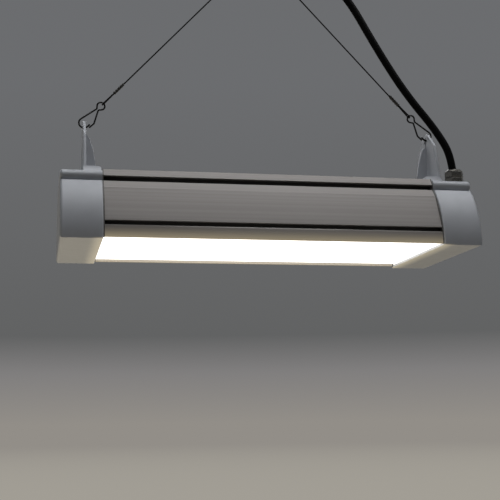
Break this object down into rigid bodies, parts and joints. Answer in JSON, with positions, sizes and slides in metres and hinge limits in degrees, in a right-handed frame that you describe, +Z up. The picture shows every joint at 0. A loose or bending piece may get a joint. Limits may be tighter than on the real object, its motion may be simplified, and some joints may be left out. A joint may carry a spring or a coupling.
{
  "type": "led tunnel light",
  "caption": "Suspended LED light: finned aluminium profile with an opal diffuser between cast end caps, hung by snap hooks and wires from a ring, with a gland and supply lead.",
  "frame": {"origin": "centre of the hanging ring, from which the light is hung", "axes": "+X along the lamp towards the cable gland's end, +Y to the lamp's back, +Z up; the light shines down, towards -Z"},
  "size_m": [0.42, 0.1688, 0.3565],
  "materials": {
    "profile_aluminium": "satin anodised extrusion",
    "cap_silver": "fine silver powder coat on a casting",
    "gasket_rubber": "matt black",
    "screw_steel": "bright zinc",
    "diffuser_opal": "opal sheet, lit from behind",
    "board_white": "white solder mask",
    "led_package": "phosphor in a white package",
    "driver_case": "plain metal case",
    "terminal_plastic": "natural polyamide",
    "core_brown": "brown insulation",
    "core_blue": "blue insulation",
    "core_earth": "green and yellow insulation",
    "copper": "bare copper strands",
    "gland_nickel": "nickel plated",
    "cable_black": "smooth black sheath",
    "tie_nylon": "black nylon",
    "hook_steel": "dark galvanised spring wire",
    "wire_rope": "stranded steel wire",
    "ferrule_aluminium": "pressed",
    "ring_steel": "welded, zinc plated"
  },
  "bodies": {
    "root": {"housing_profile": "profile_aluminium", "end_cap_left": "cap_silver", "end_cap_right": "cap_silver", "end_gasket_left": "gasket_rubber", "end_gasket_right": "gasket_rubber", "cap_screws_left": "screw_steel", "cap_screws_right": "screw_steel", "diffuser": "diffuser_opal", "led_board_front": "board_white", "led_board_middle": "board_white", "led_board_rear": "board_white", "led_chips": "led_package", "board_screws": "screw_steel", "led_driver": "driver_case", "driver_screws": "screw_steel", "terminal_block": "terminal_plastic", "supply_core_live": "core_brown", "supply_core_earth": "core_earth", "supply_core_neutral": "core_blue", "driver_lead_live": "core_brown", "driver_lead_neutral": "core_blue", "gland_body": "gland_nickel", "gland_washer": "gasket_rubber", "gland_seal": "gasket_rubber", "gland_nut": "gland_nickel", "power_cable": "cable_black", "lead_core_live": "core_brown", "lead_core_earth": "core_earth", "lead_core_neutral": "core_blue", "core_strands": "copper", "cable_tie": "tie_nylon", "snap_hook_left": "hook_steel", "snap_hook_right": "hook_steel", "suspension_wire_left": "wire_rope", "suspension_wire_right": "wire_rope", "lower_ferrule_left": "ferrule_aluminium", "lower_ferrule_right": "ferrule_aluminium", "upper_ferrule_left": "ferrule_aluminium", "upper_ferrule_right": "ferrule_aluminium", "hanging_ring": "ring_steel"}
  },
  "joints": []
}
